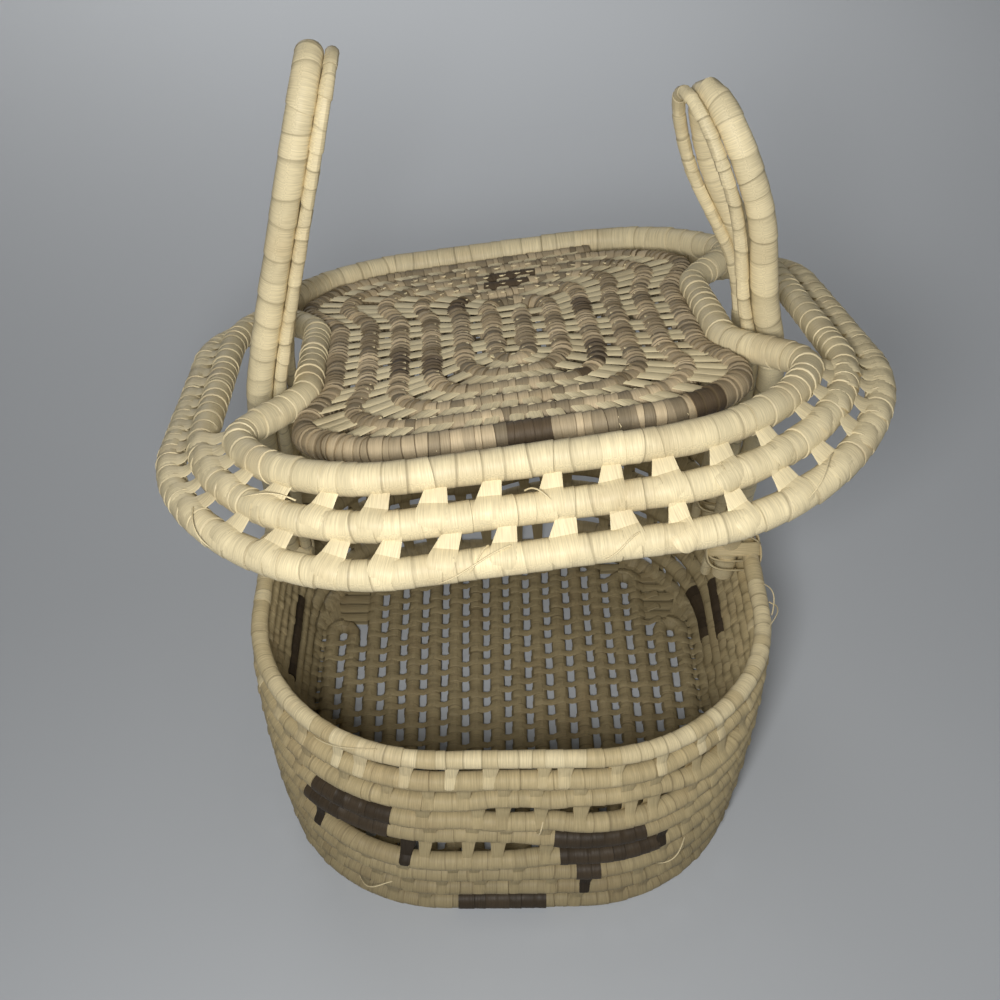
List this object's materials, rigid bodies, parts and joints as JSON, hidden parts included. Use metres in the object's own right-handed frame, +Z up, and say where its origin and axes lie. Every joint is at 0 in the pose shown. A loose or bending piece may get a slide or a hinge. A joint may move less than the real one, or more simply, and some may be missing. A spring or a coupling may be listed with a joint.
{
  "type": "lidded basket",
  "caption": "Coiled, stitched pie basket of rounded square plan, with a lid that slides up and down two tall looped handles.",
  "frame": {"origin": "under the floor, on the flat of the floor run just right of the basket's middle", "axes": "+Z up, -Y to the front that the picture shows, +X to its right; the basket's middle is at x = -6.75 mm"},
  "size_m": [0.3328, 0.34, 0.4447],
  "materials": {
    "straw_wrap": "matte",
    "pale_straw_wrap": "matte",
    "grey_straw_stitch": "matte",
    "dyed_brown_wrap": "matte"
  },
  "bodies": {
    "basket": {"base_coil": "straw_wrap", "base_edge_coil": "straw_wrap", "base_lacing": "grey_straw_stitch", "dyed_front_foot": "dyed_brown_wrap", "dyed_front_left_lower": "dyed_brown_wrap", "dyed_front_left_upper": "dyed_brown_wrap", "dyed_front_right_lower": "dyed_brown_wrap", "dyed_front_right_upper": "dyed_brown_wrap", "dyed_front_small": "dyed_brown_wrap", "dyed_left_wall": "dyed_brown_wrap", "dyed_right_lower": "dyed_brown_wrap", "dyed_right_upper": "dyed_brown_wrap", "left_back_foot_binding": "grey_straw_stitch", "left_front_foot_binding": "grey_straw_stitch", "left_handle_strand": "pale_straw_wrap", "left_handle_thin_strand": "straw_wrap", "right_back_foot_binding": "grey_straw_stitch", "right_front_foot_binding": "grey_straw_stitch", "right_handle_strand": "pale_straw_wrap", "right_handle_thin_strand": "straw_wrap", "rim_coil": "pale_straw_wrap", "rim_lacing_back": "grey_straw_stitch", "rim_lacing_front": "grey_straw_stitch", "wall_coil": "straw_wrap", "wall_lacing": "grey_straw_stitch"},
    "lid_carrier": {"lid_start_knot": "grey_straw_stitch"},
    "lid": {"lid_panel_coil": "straw_wrap", "lid_panel_lacing": "grey_straw_stitch", "lid_ridge_coil": "pale_straw_wrap", "lid_skirt_coil": "pale_straw_wrap", "lid_skirt_lacing": "grey_straw_stitch"}
  },
  "joints": [
    {"name": "lid_lift", "type": "slide", "parent": "basket", "child": "lid_carrier", "axis": [-0.0054, -0.1332, 0.9911], "range_m": [-0.1288, 0]},
    {"name": "lid_tip", "type": "hinge", "parent": "lid_carrier", "child": "lid", "pos_m": [-0.00745, -0.0142, 0.2973], "axis": [-0.9162, -0.3497, 0.1955], "range_deg": [-17.66, 0]}
  ],
  "couplings": [
    {"joint": "lid_tip", "follows": "lid_lift", "rad_per_m": 2.3864}
  ]
}
